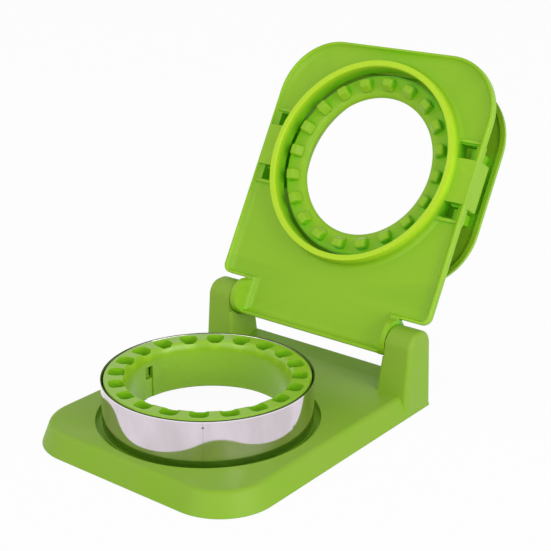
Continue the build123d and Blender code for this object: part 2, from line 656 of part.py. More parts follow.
# Press plate, with the seal tube, four hook legs and the pins that guide the springs
with BuildPart() as press_plate:
    with BuildSketch(seal_plane.offset(press_outer)):
        RectangleRounded(PRESS_WIDTH, PRESS_LENGTH, PRESS_CORNER)
    extrude(amount=press_lip_level - press_outer)
    press_back_edges = press_plate.faces().sort_by(lid_axis)[0].edges()
    fillet(press_back_edges, radius=PRESS_EDGE_ROUND)
    with BuildSketch(seal_plane.offset(press_underside)):
        RectangleRounded(
            PRESS_WIDTH - 2 * PRESS_LIP_WIDTH,
            PRESS_LENGTH - 2 * PRESS_LIP_WIDTH,
            PRESS_CORNER - PRESS_LIP_WIDTH,
        )
    extrude(amount=PRESS_LIP, mode=Mode.SUBTRACT)
    with BuildSketch(seal_plane.offset(press_underside)):
        Circle(TUBE_OUTSIDE)
    extrude(amount=toothed_back - press_underside)
    with BuildSketch(seal_section):
        with BuildLine():
            mouth = (TUBE_BORE + TUBE_FLARE, press_outer)
            throat = (TUBE_BORE, press_outer + TUBE_FLARE)
            Line((0, press_outer), mouth)
            RadiusArc(mouth, throat, TUBE_FLARE)
            Line(throat, (TUBE_BORE, toothed_back))
            Line((TUBE_BORE, toothed_back), (0, toothed_back))
            Line((0, toothed_back), (0, press_outer))
        make_face()
    revolve(axis=seal_axis, mode=Mode.SUBTRACT)

    # Windows in the tube for the toothed ring's snaps
    with BuildSketch(seal_plane.offset(snap_bottom - SNAP_CLEARANCE)):
        with PolarLocations((TUBE_BORE + TUBE_OUTSIDE) / 2, SNAP_COUNT, start_angle=SNAP_START):
            Rectangle(2 * (TUBE_OUTSIDE - TUBE_BORE), SNAP_WIDTH + 2 * SNAP_CLEARANCE)
    extrude(amount=SNAP_HEIGHT + 2 * SNAP_CLEARANCE, mode=Mode.SUBTRACT)

    # Hook legs with outward barbs that catch under the ledges of the slots
    barb_level = ledge_level + REST_GAP
    leg_end = barb_level + BARB_HEIGHT
    leg_face = LEG_X + LEG_THICKNESS
    for leg_middle in (-leg_u, leg_u):
        with BuildSketch(seal_section.offset(-leg_middle)):
            with BuildLine():
                Polyline(
                    (LEG_X, press_underside),
                    (leg_face, press_underside),
                    (leg_face, barb_level),
                    (leg_face + BARB_REACH, barb_level),
                    (leg_face + BARB_REACH, barb_level + BARB_HEIGHT / 3),
                    (leg_face, leg_end),
                    (LEG_X, leg_end),
                    close=True,
                )
            make_face()
            mirror(about=Plane.YZ)
        extrude(amount=LEG_WIDTH / 2, both=True)

    # Pins inside the springs
    with BuildSketch(seal_plane.offset(press_underside)):
        with GridLocations(2 * WELL_X, WELL_SPACING, 2, 2):
            Circle(GUIDE_RADIUS)
    extrude(amount=GUIDE_LENGTH)
press_plate.part.label = "press_plate"
export_step(press_plate.part, "parts/press_plate.step")

# One blunt tooth of the upper ring, high at the outside and low towards the bore
with BuildPart() as tooth:
    with BuildSketch(seal_section):
        with BuildLine():
            Polyline(
                (TOOTH_INNER, TOOTH_FACE - TOOTH_ROOT),
                (TOOTH_INNER, TOOTH_FACE + TOOTH_TOE),
                (TOOTH_TIP_INNER, TOOTH_FACE + TOOTH_HEIGHT),
                (TOOTH_OUTER, TOOTH_FACE + TOOTH_HEIGHT),
                (TOOTH_OUTER, TOOTH_FACE - TOOTH_ROOT),
                close=True,
            )
        make_face()
    extrude(amount=TOOTH_WIDTH / 2, both=True)
    raised_edges = tooth.edges().sort_by(lid_axis)[4:]
    fillet(raised_edges, radius=TOOTH_ROUND)

# Upper sealing ring: a toothed flange, round inside, with a spigot that snaps into the tube
with BuildPart() as toothed_ring:
    spigot_outside = TUBE_BORE - FIT_CLEARANCE
    spigot_bore = spigot_outside - SPIGOT_WALL
    spigot_end = toothed_back - SPIGOT_LENGTH
    with BuildSketch(seal_section):
        with BuildLine():
            lip_centre = (TOOTHED_BORE + TOOTHED_LIP_WIDTH, TOOTH_FACE - TOOTHED_LIP_HEIGHT)
            EllipticalCenterArc(
                lip_centre, TOOTHED_LIP_WIDTH, TOOTHED_LIP_HEIGHT, start_angle=90, arc_size=90
            )
            Polyline(
                (TOOTHED_BORE + TOOTHED_LIP_WIDTH, TOOTH_FACE),
                (TOOTHED_OUTSIDE, TOOTH_FACE),
                (TOOTHED_OUTSIDE, toothed_back),
                (TOOTHED_BORE, toothed_back),
                (TOOTHED_BORE, TOOTH_FACE - TOOTHED_LIP_HEIGHT),
            )
        face_points = make_face().vertices().group_by(Axis.Y)[-1].sort_by(Axis.X)
        fillet(face_points[-1], radius=TOOTHED_EDGE_ROUND)
    revolve(axis=seal_axis)
    with BuildSketch(seal_plane.offset(spigot_end)):
        Circle(spigot_outside)
        Circle(spigot_bore, mode=Mode.SUBTRACT)
    extrude(amount=SPIGOT_LENGTH)
    with BuildSketch(seal_plane.offset(snap_bottom)):
        with PolarLocations(spigot_outside, SNAP_COUNT, start_angle=SNAP_START):
            Rectangle(2 * SNAP_REACH, SNAP_WIDTH)
    extrude(amount=SNAP_HEIGHT)
    for tooth_number in range(TOOTH_COUNT):
        add(tooth.part.rotate(seal_axis, 360 * tooth_number / TOOTH_COUNT))
toothed_ring.part.label = "toothed_ring"
export_step(toothed_ring.part, "parts/toothed_ring.step")

# Return springs: plain open coils of round wire, each as one swept tube
coil_bottom = press_underside + SPRING_WIRE / 2
coil_top = well_bottom - SPRING_WIRE / 2
coil_rise = coil_top - coil_bottom
quarter_count = 4 * SPRING_TURNS


def coil_point(turn):
    """Point on the coil's centre line, in the spring's own frame, after a number of turns."""
    angle = 2 * pi * turn
    return Vector(SPRING_RADIUS * cos(angle), SPRING_RADIUS * sin(angle), coil_rise * turn / SPRING_TURNS)


def coil_direction(turn):
    """Unit direction of the coil's centre line after a number of turns."""
    angle = 2 * pi * turn
    climb = coil_rise / SPRING_TURNS / (2 * pi)
    return Vector(-SPRING_RADIUS * sin(angle), SPRING_RADIUS * cos(angle), climb).normalized()


def spring_tube():
    """One upright spring, swept along a biarc for each quarter turn."""
    with BuildPart() as tube:
        with BuildLine() as centre_line:
            for quarter in range(quarter_count):
                start = coil_point(quarter / 4)
                end = coil_point((quarter + 1) / 4)
                start_way = coil_direction(quarter / 4)
                end_way = coil_direction((quarter + 1) / 4)
                chord = end - start
                ways = start_way + end_way
                bend = 2 * (1 - start_way.dot(end_way))
                reach = sqrt(chord.dot(ways) ** 2 + bend * chord.dot(chord)) - chord.dot(ways)
                reach = reach / bend
                joint_before = start + start_way * reach
                joint_after = end - end_way * reach
                joint = (joint_before + joint_after) * 0.5
                TangentArc(start, joint, tangent=start_way)
                TangentArc(joint, end, tangent=joint_after - joint_before)
        wire_plane = Plane(origin=centre_line.line @ 0, z_dir=centre_line.line % 0)
        with BuildSketch(wire_plane):
            Circle(SPRING_WIRE / 2)
        sweep(path=centre_line.line)
    return tube.part


coil_samples = [coil_point(step / 40) for step in range(40 * SPRING_TURNS + 1)]
coil_gap = min(
    dist(tuple(near), tuple(far))
    for index, near in enumerate(coil_samples)
    for far in coil_samples[index + 20 :]
)
print("least gap from a spring's wire to itself", round(coil_gap - SPRING_WIRE, 3), "mm")

spring_spots = {
    "press_spring_left_lower": (-WELL_X, -WELL_SPACING / 2),
    "press_spring_left_upper": (-WELL_X, WELL_SPACING / 2),
    "press_spring_right_lower": (WELL_X, -WELL_SPACING / 2),
    "press_spring_right_upper": (WELL_X, WELL_SPACING / 2),
}
for spring_name, (spring_x, spring_u) in spring_spots.items():
    spring_origin = seal_plane.offset(coil_bottom).from_local_coords((spring_x, spring_u, 0))
    spring_plane = Plane(origin=spring_origin, x_dir=(1, 0, 0), z_dir=toward_underside)
    press_spring = spring_plane.location * spring_tube()
    press_spring.label = spring_name
    export_step(press_spring, f"parts/{spring_name}.step")
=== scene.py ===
# %% [markdown]
# # A hinged sandwich cutter and sealer
# This lesson dresses a small green kitchen press. A tray carries an upright steel band, which
# cuts a round out of two slices of bread, and a ring with twenty dimples. The lid swings on two
# ears, and behind it a sprung plate pushes a ring of twenty blunt teeth into those dimples. The
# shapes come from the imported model, which is loaded first and never moved. What is left for
# Blender is the light, the camera, the finishes and the four wound springs.

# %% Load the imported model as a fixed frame
import bmesh
import bpy
import json
from math import cos, pi, radians, sin
from mathutils import Matrix, Vector


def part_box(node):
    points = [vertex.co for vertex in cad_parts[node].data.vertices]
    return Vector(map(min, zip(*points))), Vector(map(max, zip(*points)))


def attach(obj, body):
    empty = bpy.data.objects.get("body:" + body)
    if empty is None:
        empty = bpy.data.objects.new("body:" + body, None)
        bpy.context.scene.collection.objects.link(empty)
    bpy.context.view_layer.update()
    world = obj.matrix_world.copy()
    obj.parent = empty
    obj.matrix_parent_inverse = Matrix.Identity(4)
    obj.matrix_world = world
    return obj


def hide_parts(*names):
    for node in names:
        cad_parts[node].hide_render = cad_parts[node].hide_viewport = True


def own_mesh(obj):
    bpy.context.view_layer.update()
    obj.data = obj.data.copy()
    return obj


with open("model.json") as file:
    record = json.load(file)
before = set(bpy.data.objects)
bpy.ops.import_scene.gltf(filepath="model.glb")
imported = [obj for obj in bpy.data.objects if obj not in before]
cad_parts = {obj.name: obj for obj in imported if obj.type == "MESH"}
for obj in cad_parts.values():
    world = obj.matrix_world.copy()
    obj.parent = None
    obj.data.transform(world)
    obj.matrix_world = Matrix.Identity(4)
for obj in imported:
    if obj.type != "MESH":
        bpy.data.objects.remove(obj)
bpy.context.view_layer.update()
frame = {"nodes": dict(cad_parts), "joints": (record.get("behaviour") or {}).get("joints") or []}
nodes = frame["nodes"]
print("nodes", sorted(nodes))

# %% [markdown]
# ## Where things are
# Several finishes need to know where a piece is: the seam of the band lies at one angle round
# the ring, and the springs stand square to the lid. So a few places are worked out once, from
# the boxes of the nodes and from the two joints, instead of being written as loose numbers.
# Blender counts in metres, so a length is written as a number of mm.

# %% Places that the finishes and springs share
mm = 0.001
band_low, band_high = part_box("cutting_band")
ring_centre = (band_low + band_high) / 2
band_top = band_high.z
base_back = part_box("base_plate")[1].y
joints = {joint["name"]: joint for joint in frame["joints"]}
hinge_point = Vector(joints["lid_hinge"]["pos_m"])
across = Vector((1, 0, 0))
underside_way = Vector(joints["press_slide"]["axis"]).normalized()
free_end_way = underside_way.cross(across)
seal_centre = hinge_point + free_end_way * (hinge_point.y - ring_centre.y)
print("ring axis at y", round(ring_centre.y, 5), "band top at", round(band_top, 5))
print("seal centre", [round(v, 5) for v in seal_centre])
print("way up the lid", [round(v, 3) for v in free_end_way])

# %% [markdown]
# ## The camera
# The photograph looks down on the product from its front right corner. The angles, the lens and
# the point that is looked at were solved from the circles of the band, the rings and the ears,
# so that the render and the photograph can be laid over each other. The three angles turn the
# camera round the product, lift it, and tip it a very little on its own axis. The lens was
# solved in pixels of the photograph, and Blender wants it in the sensor's units.

# %% Which way the camera looks
VIEW_AZIMUTH = radians(38.15)
VIEW_ELEVATION = radians(19.86)
VIEW_ROLL = radians(0.14)

camera_back = Vector((
    sin(VIEW_AZIMUTH) * cos(VIEW_ELEVATION),
    -cos(VIEW_AZIMUTH) * cos(VIEW_ELEVATION),
    sin(VIEW_ELEVATION),
))
level_right = Vector((cos(VIEW_AZIMUTH), sin(VIEW_AZIMUTH), 0))
level_up = camera_back.cross(level_right)
camera_right = level_right * cos(VIEW_ROLL) + level_up * sin(VIEW_ROLL)
camera_up = level_up * cos(VIEW_ROLL) - level_right * sin(VIEW_ROLL)

# %% Camera at the photograph's viewing angle
PHOTO_PIXELS = 551
FOCAL_PIXELS = 1263.27
SENSOR_WIDTH = 36
CAMERA_DISTANCE = 497.08 * mm

looked_at = Vector((12.13 * mm, ring_centre.y + 27.39 * mm, 63.0 * mm))
camera_data = bpy.data.cameras.new("photo_camera")
camera_data.sensor_width = SENSOR_WIDTH
camera_data.lens = SENSOR_WIDTH * FOCAL_PIXELS / PHOTO_PIXELS
camera_data.clip_start = 10 * mm
camera = bpy.data.objects.new("photo_camera", camera_data)
bpy.context.scene.collection.objects.link(camera)
camera_turn = Matrix((camera_right, camera_up, camera_back)).transposed().to_4x4()
camera.matrix_world = Matrix.Translation(looked_at + camera_back * CAMERA_DISTANCE) @ camera_turn
bpy.context.scene.camera = camera
print("camera at", [round(v, 4) for v in camera.matrix_world.translation])

# %% [markdown]
# ## Small helpers for shader nodes
# A finish is a chain of nodes. Written out in full, each node takes four or five lines, so a
# few helpers keep the chains short enough to read. The first makes any node, and takes for each
# input either a value or the socket that feeds it.

# %% Make a node and feed its inputs
def feed(tree, node, inputs):
    """Sets inputs of a node from values, or from the sockets that feed them."""
    for name, value in inputs.items():
        if isinstance(value, bpy.types.NodeSocket):
            tree.links.new(value, node.inputs[name])
        else:
            node.inputs[name].default_value = value


def make_node(tree, kind, inputs, **settings):
    """A node with its settings and its inputs."""
    node = tree.nodes.new(kind)
    for name, value in settings.items():
        setattr(node, name, value)
    feed(tree, node, inputs)
    return node


# %% Sums with numbers and with vectors
def calculate(tree, operation, first, second=0.0, clamp=False):
    """One sum in a shader, which gives the socket that holds its result."""
    inputs = {0: first, 1: second}
    return make_node(tree, "ShaderNodeMath", inputs, operation=operation, use_clamp=clamp).outputs[0]


def scaled(tree, value, factor):
    """A value or mask times a factor or another mask."""
    return calculate(tree, "MULTIPLY", value, factor)


def vector_sum(tree, operation, first, second=(0, 0, 0)):
    """One sum with vectors. Its result is the output Vector, or Value where it is a length."""
    return make_node(tree, "ShaderNodeVectorMath", {0: first, 1: second}, operation=operation)


# %% [markdown]
# ## Masks, colours, noise and bumps
# Most finishes are made of the same five steps. A mask says where an effect is, from 0 to 1. It
# mixes two colours, or is spread over a range of roughness. Noise gives a mask its cloudy form,
# and can be stretched along one axis. A height becomes a bump in the surface.

# %% From a value to a mask, and from a mask to a colour or a value
def step_between(tree, value, low, high):
    """A mask that goes smoothly from 0 at low to 1 at high."""
    inputs = {"Value": value, "From Min": low, "From Max": high}
    node = make_node(tree, "ShaderNodeMapRange", inputs, interpolation_type="SMOOTHSTEP")
    return node.outputs["Result"]


def spread(tree, mask, low, high):
    """A value that goes from low to high with a mask."""
    inputs = {"Value": mask, "To Min": low, "To Max": high}
    return make_node(tree, "ShaderNodeMapRange", inputs).outputs["Result"]


def mix_colours(tree, mask, first, second):
    """A colour that goes from first to second with a mask."""
    inputs = {"Factor": mask, "A": first, "B": second}
    return make_node(tree, "ShaderNodeMix", inputs, data_type="RGBA").outputs["Result"]


# %% Noise and bumps
def noise(tree, place, fineness, detail, distortion=0.0):
    """Cloudy noise from 0 to 1, with smaller clouds where the fineness is higher."""
    inputs = {"Vector": place, "Scale": fineness, "Detail": detail, "Distortion": distortion}
    return make_node(tree, "ShaderNodeTexNoise", inputs).outputs["Fac"]


def squeezed(tree, place, factor):
    """A place whose Z is multiplied: above 1 it packs a noise upright, below 1 it draws it out."""
    inputs = {"Vector": place, "Scale": (1.0, 1.0, factor)}
    return make_node(tree, "ShaderNodeMapping", inputs).outputs["Vector"]


def bumped(tree, height, strength, depth, **more):
    """A normal that follows a height, over a surface that is depth deep."""
    inputs = {"Height": height, "Strength": strength, "Distance": depth, **more}
    return make_node(tree, "ShaderNodeBump", inputs).outputs["Normal"]


# %% [markdown]
# ## Materials and shared effects
# Each material starts empty, with one Principled shader, and takes its patterns from Object
# coordinates, so that they stay on the piece when it swings. An effect that more than one
# material needs is a node group, which is built only once. Both groups here turn a place and a
# fineness into one value, so one function starts them.

# %% Start a material, start a group, and use a group
def start_material(name):
    """A material with only a Principled shader, and the place that its patterns read."""
    material = bpy.data.materials.new(name)
    material.use_nodes = True
    tree = material.node_tree
    tree.nodes.clear()
    shader = make_node(tree, "ShaderNodeBsdfPrincipled", {})
    surface = {"Surface": shader.outputs["BSDF"]}
    make_node(tree, "ShaderNodeOutputMaterial", surface, is_active_output=True)
    place = make_node(tree, "ShaderNodeTexCoord", {}).outputs["Object"]
    return material, tree, shader, place


def start_group(name, output):
    """An empty node group with a place, a fineness and one output, and its two end nodes."""
    tree = bpy.data.node_groups.new(name, "ShaderNodeTree")
    tree.interface.new_socket("Vector", in_out="INPUT", socket_type="NodeSocketVector")
    tree.interface.new_socket("Fineness", in_out="INPUT", socket_type="NodeSocketFloat")
    tree.interface.new_socket(output, in_out="OUTPUT", socket_type="NodeSocketFloat")
    return tree, tree.nodes.new("NodeGroupInput").outputs, tree.nodes.new("NodeGroupOutput")


def use_group(tree, group, place, fineness):
    """Places a node group in a material, and gives its one output."""
    inputs = {"Vector": place, "Fineness": fineness}
    return make_node(tree, "ShaderNodeGroup", inputs, node_tree=group).outputs[0]


# %% [markdown]
# ## Smears and the skin of a mould
# Nothing that has been handled is evenly shiny. Faint smears from fingers and wiping change how
# rough the plastic and the steel are. The moulded pieces and the feet also carry the fine skin
# of a mould, about a hundredth of a millimetre deep, over a broad unevenness that the plastic
# gets when it shrinks. A smear on steel is finer than one on plastic, and one on a thin wire is
# finer still, so each material gives its own fineness.

# %% How fine the shared effects are on each material
SMEARS_ON_PLASTIC = 34.0
SMEARS_ON_STEEL = 60.0
SMEARS_ON_RUBBER = 260.0
SMEARS_ON_WIRE = 420.0
SKIN_ON_PLASTIC = 1300.0
SKIN_ON_RUBBER = 2600.0

# %% Smears from handling
SMEAR_EDGES = (0.42, 0.68)

smear_group, smear_in, smear_out = start_group("handling_smears", "Mask")
smear_clouds = noise(smear_group, smear_in["Vector"], smear_in["Fineness"], 4.0, distortion=1.2)
feed(smear_group, smear_out, {"Mask": step_between(smear_group, smear_clouds, *SMEAR_EDGES)})

# %% Skin of a mould
SKIN_SHARE = 0.12
SHRINK_SHARE = 0.9
SHRINK_FINENESS = 55.0

skin_group, skin_in, skin_out = start_group("mould_skin", "Height")
skin_fine = noise(skin_group, skin_in["Vector"], skin_in["Fineness"], 3.0)
skin_broad = noise(skin_group, skin_in["Vector"], SHRINK_FINENESS, 2.0)
skin_height = calculate(
    skin_group, "ADD",
    scaled(skin_group, skin_fine, SKIN_SHARE),
    scaled(skin_group, skin_broad, SHRINK_SHARE),
)
feed(skin_group, skin_out, {"Height": skin_height})
print("groups", [group.name for group in bpy.data.node_groups])

# %% [markdown]
# ## Flow streaks in the green plastic
# Plastic flows into its mould at the gate, and leaves faint streaks that fan out from there. A
# noise that is read along the direction from the gate, and hardly changes with the distance,
# gives such a fan. Near the gate the streaks would meet in a star, which no real piece has, so
# they fade in over the first few centimetres.

# %% Streaks that fan out from the gate
GREEN_STREAK = (0.215, 0.44, 0.014, 1)
STREAK_FINENESS = 5.0
STREAK_EDGES = (0.42, 0.7)
STREAK_STRENGTH = 0.45
STREAKS_START = 6 * mm
STREAKS_FULL = 40 * mm


def streaked(tree, place, gate, green):
    """A green with faint darker streaks that fan out from the piece's gate."""
    from_gate = vector_sum(tree, "SUBTRACT", place, gate).outputs["Vector"]
    outwards = vector_sum(tree, "NORMALIZE", from_gate).outputs["Vector"]
    distance = vector_sum(tree, "LENGTH", from_gate).outputs["Value"]
    inputs = {"Vector": outwards, "W": distance, "Scale": STREAK_FINENESS, "Detail": 3.0}
    fan = make_node(tree, "ShaderNodeTexNoise", inputs, noise_dimensions="4D").outputs["Fac"]
    streaks = scaled(tree, step_between(tree, fan, *STREAK_EDGES), STREAK_STRENGTH)
    beyond_gate = step_between(tree, distance, STREAKS_START, STREAKS_FULL)
    return mix_colours(tree, scaled(tree, streaks, beyond_gate), green, GREEN_STREAK)


# %% [markdown]
# ## Painted light in thin walls and hollows
# The dyed plastic lets a little light through, so a thin wall looks paler and more yellow, and
# a hollow between green walls fills with a deeper, clearer green. Both are painted light, mixed
# into the base colour. Subsurface scattering would show both, but it is slow, and an exported
# model loses it. Ambient occlusion nodes can tell where they are instead. One looks 2.3 mm into
# the plastic, and meets the far side of a thin wall. The other looks 12 mm out at all the
# pieces, and meets the neighbours that make a hollow.

# %% Painted light in thin walls and painted bounce light in hollows
# Painted light that shines through thin walls.
GREEN_PAINTED_THIN_WALL_LIGHT = (0.44, 0.72, 0.03, 1)
# Painted bounce light in hollows between green walls.
GREEN_PAINTED_HOLLOW_LIGHT = (0.17, 0.60, 0.008, 1)
LOOK_IN = 2.3 * mm
LOOK_OUT = 12 * mm
THIN_EDGES = (0.46, 0.16)
HOLLOW_EDGES = (0.78, 0.22)


def paint_light_where_thin(tree, colour, share):
    """A colour with painted light shining through, paler where the wall is thinner than about 1.6 mm."""
    inwards = make_node(
        tree, "ShaderNodeAmbientOcclusion", {"Distance": LOOK_IN},
        inside=True, only_local=True, samples=16,
    )
    mask = step_between(tree, inwards.outputs["AO"], *THIN_EDGES)
    return mix_colours(tree, scaled(tree, mask, share), colour, GREEN_PAINTED_THIN_WALL_LIGHT)


def paint_bounce_light_in_hollows(tree, colour, share):
    """A colour with painted bounce light, a deeper green where other walls stand near."""
    outwards = make_node(tree, "ShaderNodeAmbientOcclusion", {"Distance": LOOK_OUT}, samples=8)
    mask = step_between(tree, outwards.outputs["AO"], *HOLLOW_EDGES)
    return mix_colours(tree, scaled(tree, mask, share), colour, GREEN_PAINTED_HOLLOW_LIGHT)


# %% [markdown]
# ## Painted light on the collar
# The collar is a thin upright wall round the toothed ring. Its rim catches the light and its
# wall carries the light in, which draws the bright line round it in the photograph. That light
# is painted into the colour. The place is known exactly, so a mask is worked out from it: the
# height over the hinge's level, which grows towards the rim. The hinge ears stand as high, and
# they stay plain because the mask ends at a distance from the collar's axis.

# %% Painted light that grows towards the collar's rim
# The collar's brighter green is painted light.
GREEN_PAINTED_RIM_LIGHT = (0.46, 0.70, 0.022, 1)
RIM_LIGHT_START = 0.8 * mm
RIM_LIGHT_FULL = 5.0 * mm
RIM_LIGHT_RADIUS = 50 * mm
RIM_LIGHT_END_RADIUS = 60 * mm


def paint_rim_light(tree, place, colour):
    """A colour with painted light that gets brighter up the collar's wall."""
    from_seal = vector_sum(tree, "SUBTRACT", place, seal_centre).outputs["Vector"]
    level = vector_sum(tree, "DOT_PRODUCT", from_seal, underside_way).outputs["Value"]
    sideways = vector_sum(tree, "CROSS_PRODUCT", from_seal, underside_way).outputs["Vector"]
    radius = vector_sum(tree, "LENGTH", sideways).outputs["Value"]
    mask = scaled(
        tree,
        step_between(tree, level, RIM_LIGHT_START, RIM_LIGHT_FULL),
        step_between(tree, radius, RIM_LIGHT_END_RADIUS, RIM_LIGHT_RADIUS),
    )
    return mix_colours(tree, mask, colour, GREEN_PAINTED_RIM_LIGHT)


# %% [markdown]
# ## The green finish
# One function puts the effects together into a satin plastic. It takes the place of the piece's
# gate, how rough and glossy the piece is, and how strongly the painted light of its thin walls,
# of its hollows and of its rim shows. The smears make it a little rougher in patches. The Bevel
# node makes sharp moulded edges catch the light as if they were slightly round, which they
# always are, and the skin of the mould lies over that. Colours are linear red, green and blue,
# with an alpha of 1.

# %% Moulded green plastic
GREEN = (0.272, 0.508, 0.017, 1)
PLASTIC_IOR = 1.49
WIPED_SHINE = 0.03
SMEAR_DULLNESS = 0.07
EDGE_ROUND = 0.3 * mm
SKIN_STRENGTH = 0.22
SKIN_DEPTH = 0.12 * mm


def moulded_green(name, gate, green=GREEN, roughness=0.36, gloss=0.24, thin_wall_light=1.0, hollow_light=0.9, rim_light=False):
    """Satin green plastic with the marks of its mould, and painted light in its thin walls and hollows.
    """
    material, tree, shader, place = start_material(name)
    colour = streaked(tree, place, gate, green)
    if thin_wall_light:
        colour = paint_light_where_thin(tree, colour, thin_wall_light)
    colour = paint_bounce_light_in_hollows(tree, colour, hollow_light)
    if rim_light:
        colour = paint_rim_light(tree, place, colour)
    smears = use_group(tree, smear_group, place, SMEARS_ON_PLASTIC)
    skin = use_group(tree, skin_group, place, SKIN_ON_PLASTIC)
    soft_edge = make_node(tree, "ShaderNodeBevel", {"Radius": EDGE_ROUND}, samples=4).outputs["Normal"]
    feed(tree, shader, {
        "Base Color": colour,
        "Roughness": spread(tree, smears, roughness - WIPED_SHINE, roughness + SMEAR_DULLNESS),
        "Normal": bumped(tree, skin, SKIN_STRENGTH, SKIN_DEPTH, Normal=soft_edge),
        "IOR": PLASTIC_IOR,
        "Specular IOR Level": gloss,
    })
    return material


# %% [markdown]
# ## Five green pieces
# The pieces are of one plastic, but each has its own mould. In the photograph the tray is greyer
# and duller than the rest, and the dimple ring is the glossiest. The lid, the press plate and
# the toothed ring get the full painted light of thin walls, and the lid alone the painted light
# round its collar. Each gate is put at the middle of the side that faces the hinge, where it
# would show least.

# %% A green finish for each moulded piece
GREEN_TRAY = (0.240, 0.412, 0.034, 1)


def dress(node_name, material):
    """Gives a CAD node one material in its own slot."""
    piece = nodes[node_name]
    piece.data.materials.clear()
    piece.data.materials.append(material)


green_pieces = {
    "base_plate": {
        "gate": (0, base_back - 12 * mm, 9 * mm),
        "green": GREEN_TRAY, "roughness": 0.42, "gloss": 0.18, "thin_wall_light": 0.0, "hollow_light": 0.2,
    },
    "dimple_ring": {
        "gate": (ring_centre.x, ring_centre.y + 37 * mm, 20 * mm),
        "roughness": 0.28, "gloss": 0.42, "thin_wall_light": 0.25, "hollow_light": 0.4,
    },
    "lid": {"gate": hinge_point + free_end_way * 14 * mm, "rim_light": True},
    "press_plate": {"gate": seal_centre - underside_way * 17 * mm - free_end_way * 44 * mm},
    "toothed_ring": {"gate": seal_centre - free_end_way * 36 * mm, "gloss": 0.22},
}
for node_name, settings in green_pieces.items():
    dress(node_name, moulded_green(node_name + "_green", **settings))
print("green pieces", sorted(green_pieces))

# %% [markdown]
# ## The steel band
# The band is a strip of polished stainless steel, rolled to a ring and spot welded where its
# ends meet. Polished steel has hardly a colour of its own: it shows the pale room above and the
# green tray below, with a sharp wavy border. Its seam lies at one angle, so the place is first
# turned round the ring's axis until X points at the seam. Then Y is the distance beside the
# seam, and Z the height, and the marks are masks of those three numbers.

# %% Places on the band, seen from its seam
SEAM_ANGLE = radians(-51.5)

steel_band, steel_tree, steel_shader, steel_place = start_material("polished_band")
from_axis = vector_sum(steel_tree, "SUBTRACT", steel_place, (0, ring_centre.y, 0)).outputs["Vector"]
seam_frame = make_node(
    steel_tree, "ShaderNodeVectorRotate",
    {"Vector": from_axis, "Axis": (0, 0, 1), "Angle": -SEAM_ANGLE}, rotation_type="AXIS_ANGLE",
)
seam_parts = make_node(steel_tree, "ShaderNodeSeparateXYZ", {0: seam_frame.outputs["Vector"]}).outputs
seam_side = calculate(steel_tree, "GREATER_THAN", seam_parts["X"], 0.0)

# %% Masks of the seam and of its weld mark
SEAM_HALF = 0.10 * mm
MARK_HEIGHT = 24.4 * mm
MARK_RADIUS = 0.52 * mm

beside_seam = calculate(steel_tree, "ABSOLUTE", seam_parts["Y"])
seam_line = step_between(steel_tree, beside_seam, 1.6 * SEAM_HALF, 0.4 * SEAM_HALF)
seam_mask = scaled(steel_tree, seam_line, seam_side)
mark_up = calculate(steel_tree, "SUBTRACT", seam_parts["Z"], MARK_HEIGHT)
mark_squares = calculate(
    steel_tree, "ADD",
    calculate(steel_tree, "POWER", seam_parts["Y"], 2.0),
    calculate(steel_tree, "POWER", mark_up, 2.0),
)
mark_reach = calculate(steel_tree, "SQRT", mark_squares)
mark_disc = step_between(steel_tree, mark_reach, 1.3 * MARK_RADIUS, 0.5 * MARK_RADIUS)
mark_mask = scaled(steel_tree, mark_disc, seam_side)
print("seam turned", round(SEAM_ANGLE, 3), "radians, weld mark at height", MARK_HEIGHT)

# %% Masks of the clouds, the foot, the painted highlight line and the ground edge
CLOUD_FINENESS = 75.0
CLOUD_SQUEEZE = 0.35
CLOUD_EDGES = (0.35, 0.68)
EDGE_DEPTH = 0.38 * mm
FOOT_FULL = 9 * mm
FOOT_END = 13.5 * mm

height = seam_parts["Z"]
cloud_place = squeezed(steel_tree, steel_place, CLOUD_SQUEEZE)
clouds = noise(steel_tree, cloud_place, CLOUD_FINENESS, 3.0)
# Pale clouds of painted reflection on the steel.
reflection_cloud_mask = step_between(steel_tree, clouds, *CLOUD_EDGES)
foot_mask = step_between(steel_tree, height, FOOT_END, FOOT_FULL)
# A painted highlight line just under the cutting edge.
highlight_line_mask = step_between(steel_tree, height, band_top - 2.4 * EDGE_DEPTH, band_top - 1.7 * EDGE_DEPTH)
edge_mask = step_between(steel_tree, height, band_top - EDGE_DEPTH, band_top - 0.6 * EDGE_DEPTH)

# %% [markdown]
# ## The colour of the steel
# The colours lie over each other like coats of paint, the lowest first. The base is lilac, the
# pale room's colour painted in as reflection. Then come pale clouds of painted reflection, the
# foot with the tray's green painted as reflection and shade, the butt seam as a thin upright
# line, one small weld mark, a painted highlight line under the cutting edge, and the ground
# edge, made dark with painted shade. A list of coats and a loop keep that order plain to see.

# %% Coats of colour on the steel
# The lilac tint is the pale room's colour, painted in as reflection.
STEEL_PAINTED_ROOM_TINT = (0.60, 0.54, 0.575, 1)
STEEL_PAINTED_PALE_REFLECTION = (0.70, 0.63, 0.69, 1)
# The foot's green is the tray's reflection and shade, painted into the steel.
STEEL_PAINTED_FOOT_REFLECTION = (0.31, 0.44, 0.08, 1)
STEEL_DARK = (0.10, 0.095, 0.09, 1)
# A painted highlight line under the cutting edge.
STEEL_PAINTED_HIGHLIGHT_LINE = (0.88, 0.85, 0.88, 1)
# The ground edge's dark olive is painted shade; its dullness is roughness.
STEEL_PAINTED_EDGE_SHADE = (0.05, 0.065, 0.02, 1)

